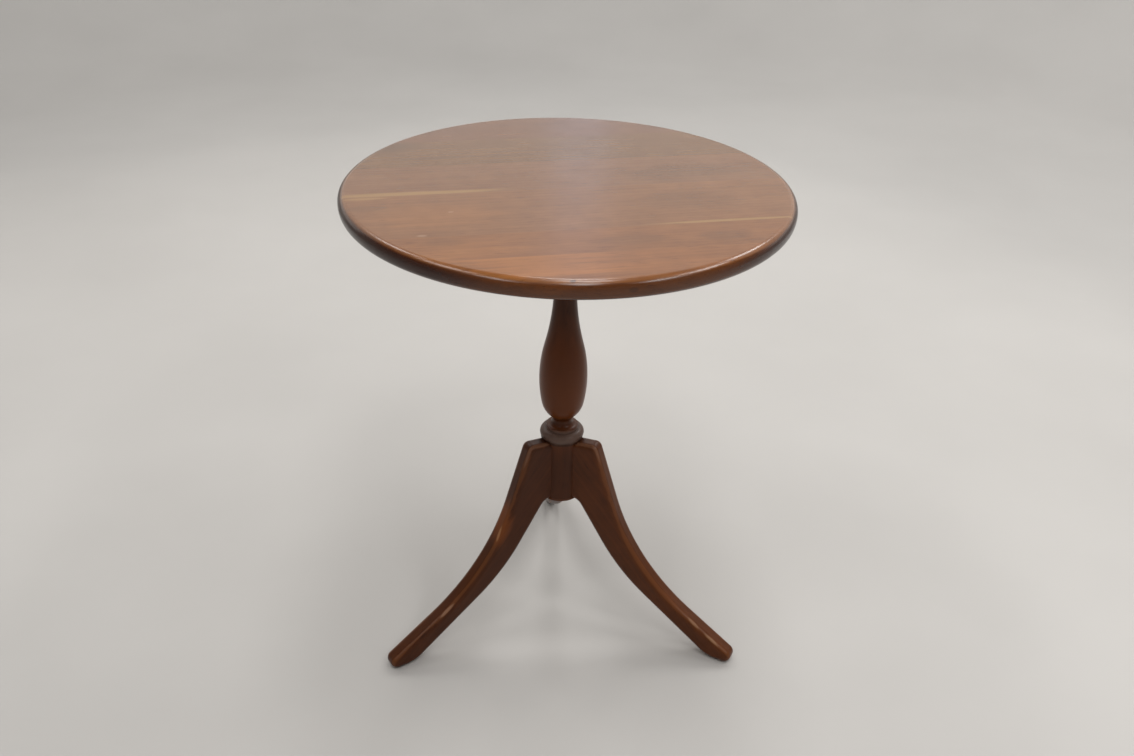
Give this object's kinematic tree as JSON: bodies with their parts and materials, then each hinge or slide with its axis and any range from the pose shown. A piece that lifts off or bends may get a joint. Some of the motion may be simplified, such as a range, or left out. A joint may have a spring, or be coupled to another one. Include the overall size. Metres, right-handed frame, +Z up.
{
  "type": "wine table",
  "caption": "Small round pedestal table: edge-glued walnut top with a rounded rim on a turned vase column, carried by swept tripod legs with blunt toes.",
  "frame": {"origin": "on the floor, under the axis of the column and the middle of the top", "axes": "+Z up, +Y along the rear leg, +X to the right as seen from the front; the boards of the top run along X, turned about 8 degrees"},
  "size_m": [0.508, 0.508, 0.6],
  "materials": {
    "top_walnut": "satin lacquer",
    "bearer_wood": "planed, unfinished",
    "screw_steel": "bright, a little dull",
    "column_walnut": "dark stain, satin lacquer",
    "wedge_oak": "sawn, unfinished",
    "leg_walnut": "dark stain, satin lacquer",
    "brace_iron": "black paint"
  },
  "bodies": {
    "root": {"top_board_1": "top_walnut", "top_board_2": "top_walnut", "top_board_3": "top_walnut", "top_board_4": "top_walnut", "top_board_5": "top_walnut", "top_board_6": "top_walnut", "bearer": "bearer_wood", "bearer_screws": "screw_steel", "column": "column_walnut", "tenon_wedge": "wedge_oak", "leg_rear": "leg_walnut", "leg_left": "leg_walnut", "leg_right": "leg_walnut", "leg_brace": "brace_iron", "brace_screws": "screw_steel"}
  },
  "joints": []
}
